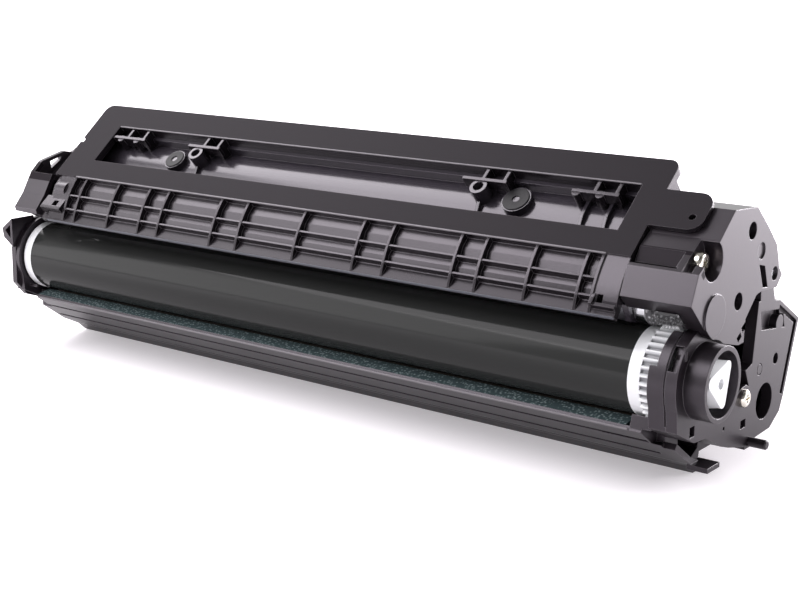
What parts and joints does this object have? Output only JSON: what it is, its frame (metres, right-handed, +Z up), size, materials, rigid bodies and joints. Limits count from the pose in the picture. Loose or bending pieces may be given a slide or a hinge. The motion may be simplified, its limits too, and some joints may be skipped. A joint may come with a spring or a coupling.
{
  "type": "toner cartridge",
  "caption": "Laser printer toner cartridge with an exposed drum, hinged toner unit, ribbed guide, gear train and twisted drive coupling.",
  "frame": {"origin": "middle of the bounding box, on the surface that the cartridge stands on", "axes": "+X along the drum towards its drive end, +Y from the drum to the back, +Z up"},
  "size_m": [0.2724, 0.0746, 0.0838],
  "materials": {
    "black_plastic": "satin injection-moulded, fine grain",
    "hopper_plastic": "smooth moulded",
    "photoconductor": "coated aluminium tube, smooth satin",
    "white_plastic": "white moulded acetal",
    "grey_plastic": "grey moulded acetal",
    "steel": "plated steel",
    "screw_steel": "bright nickel plating",
    "sleeve_metal": "blasted aluminium, dark",
    "magnet": "bonded ferrite",
    "roller_rubber": "conductive rubber",
    "blade_rubber": "polyurethane",
    "seal_felt": "speckled teal felt",
    "film": "thin polyester film"
  },
  "bodies": {
    "cleaning_unit": {"waste_housing": "black_plastic", "waste_cover": "black_plastic", "right_side_plate": "black_plastic", "left_side_plate": "black_plastic", "side_plate_screws": "screw_steel", "hinge_pins": "steel", "locating_pin": "black_plastic", "drum_axle": "steel", "charge_bearings": "white_plastic", "charge_springs": "steel", "charge_contact": "steel", "wiper_bracket": "steel", "wiper_blade": "blade_rubber", "wiper_screws": "screw_steel", "drum_seal_strip": "seal_felt"},
    "drum": {"drum_tube": "photoconductor", "drum_drive_flange": "white_plastic", "drum_left_flange": "white_plastic"},
    "charge_roller": {"charge_roller_shaft": "steel", "charge_roller_rubber": "roller_rubber"},
    "developer_unit": {"developer_frame": "black_plastic", "toner_hopper": "hopper_plastic", "gear_cover": "black_plastic", "left_end_cover": "black_plastic", "gear_cover_screw": "screw_steel", "end_cover_screws": "screw_steel", "fill_cap": "white_plastic", "doctor_bracket": "steel", "doctor_blade": "blade_rubber", "doctor_screws": "screw_steel", "roller_bushings": "grey_plastic", "magnet_core": "magnet", "developer_contact": "steel"},
    "developer_roller": {"developer_sleeve": "sleeve_metal", "roller_drive_hub": "sleeve_metal", "roller_left_hub": "sleeve_metal", "developer_roller_gear": "white_plastic"},
    "idler": {"idler_gear": "white_plastic"},
    "agitator": {"agitator_shaft": "steel", "agitator_film": "film", "agitator_gear": "white_plastic"}
  },
  "joints": [
    {"name": "drum_spin", "type": "hinge", "parent": "cleaning_unit", "child": "drum", "pos_m": [0, -0.02261, 0.031], "axis": [1, 0, 0], "continuous": true},
    {"name": "charge_roller_spin", "type": "hinge", "parent": "cleaning_unit", "child": "charge_roller", "pos_m": [0, -0.01087, 0.01926], "axis": [1, 0, 0], "continuous": true},
    {"name": "developer_pivot", "type": "hinge", "parent": "cleaning_unit", "child": "developer_unit", "pos_m": [0, 0.01354, 0.05311], "axis": [1, 0, 0], "range_deg": [-1.5, 0]},
    {"name": "developer_roller_spin", "type": "hinge", "parent": "developer_unit", "child": "developer_roller", "pos_m": [0, -0.02188, 0.04823], "axis": [1, 0, 0], "continuous": true},
    {"name": "idler_spin", "type": "hinge", "parent": "developer_unit", "child": "idler", "pos_m": [0, -0.01424, 0.05552], "axis": [1, 0, 0], "continuous": true},
    {"name": "agitator_spin", "type": "hinge", "parent": "developer_unit", "child": "agitator", "pos_m": [0, -0.00324, 0.05926], "axis": [1, 0, 0], "continuous": true}
  ],
  "couplings": [
    {"joint": "charge_roller_spin", "follows": "drum_spin", "ratio": -2.7907},
    {"joint": "developer_roller_spin", "follows": "drum_spin", "ratio": -2.5},
    {"joint": "idler_spin", "follows": "drum_spin", "ratio": 2.1875},
    {"joint": "agitator_spin", "follows": "drum_spin", "ratio": -0.82031}
  ]
}
